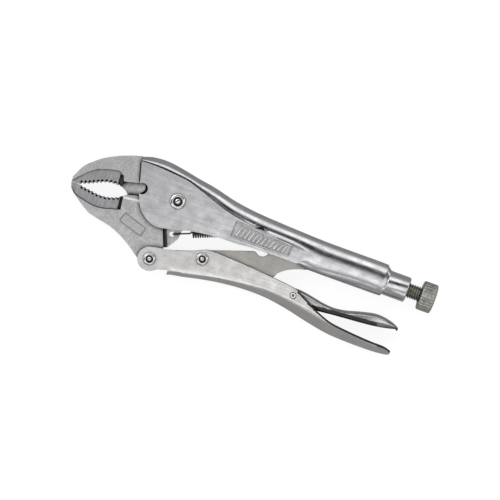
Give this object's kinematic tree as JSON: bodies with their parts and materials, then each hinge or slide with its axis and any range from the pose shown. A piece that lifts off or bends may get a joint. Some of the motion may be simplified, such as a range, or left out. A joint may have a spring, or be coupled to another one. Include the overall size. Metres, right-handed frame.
{
  "type": "locking pliers",
  "caption": "Closed curved-jaw locking pliers with wire cutter, toggle link, release lever, return spring and adjusting screw.",
  "frame": {"origin": "centre of the closed tool's outline, on the surface it lies on", "axes": "+X along the adjusting screw from the jaws to the knob, +Y from the lower handle to the upper one, +Z along the rivets, up from the surface"},
  "size_m": [0.248, 0.0716, 0.0195],
  "materials": {
    "plated_sheet": "bright nickel plate over pressed sheet",
    "forged_jaw": "plated forging, fine grain",
    "link_steel": "satin plate",
    "lever_sheet": "bright plate",
    "screw_steel": "dull zinc plate",
    "spring_wire": "dark oiled wire",
    "rivet_steel": "polished plate"
  },
  "bodies": {
    "upper": {"frame": "plated_sheet", "fixed_jaw": "forged_jaw", "jaw_rivet": "rivet_steel", "return_spring": "spring_wire"},
    "jaw": {"movable_jaw": "forged_jaw"},
    "handle": {"lower_handle": "plated_sheet", "handle_rivet": "rivet_steel", "link_rivet": "rivet_steel", "lever_pin": "rivet_steel"},
    "link": {"toggle_link": "link_steel"},
    "lever": {"release_lever": "lever_sheet"},
    "screw": {"adjusting_screw": "screw_steel"},
    "knob": {"screw_knob": "screw_steel"}
  },
  "joints": [
    {"name": "jaw_pivot", "type": "hinge", "parent": "upper", "child": "jaw", "pos_m": [-0.0545, 0.01335, 0.00975], "axis": [0, 0, 1], "range_deg": [0, 25], "deforming": ["return_spring"]},
    {"name": "handle_pivot", "type": "hinge", "parent": "jaw", "child": "handle", "pos_m": [-0.0591, -0.02785, 0.00975], "axis": [0, 0, 1], "range_deg": [-75, 0]},
    {"name": "link_pivot", "type": "hinge", "parent": "handle", "child": "link", "pos_m": [-0.0269, -0.01625, 0.00975], "axis": [0, 0, 1], "range_deg": [0, 71.75]},
    {"name": "lever_pivot", "type": "hinge", "parent": "handle", "child": "lever", "pos_m": [0.0365, -0.01835, 0.00975], "axis": [0, 0, 1], "range_deg": [-8, 0]},
    {"name": "screw_travel", "type": "slide", "parent": "upper", "child": "screw", "axis": [1, 0, 0], "range_m": [0, 0.012]},
    {"name": "knob_turn", "type": "hinge", "parent": "screw", "child": "knob", "pos_m": [0.119, 0.01035, 0.00975], "axis": [1, 0, 0], "range_deg": [0, 2700]}
  ],
  "couplings": [
    {"joint": "handle_pivot", "follows": "jaw_pivot", "ratio": -3},
    {"joint": "link_pivot", "follows": "jaw_pivot", "ratio": 2.87},
    {"joint": "knob_turn", "follows": "screw_travel", "rad_per_m": 3927}
  ]
}
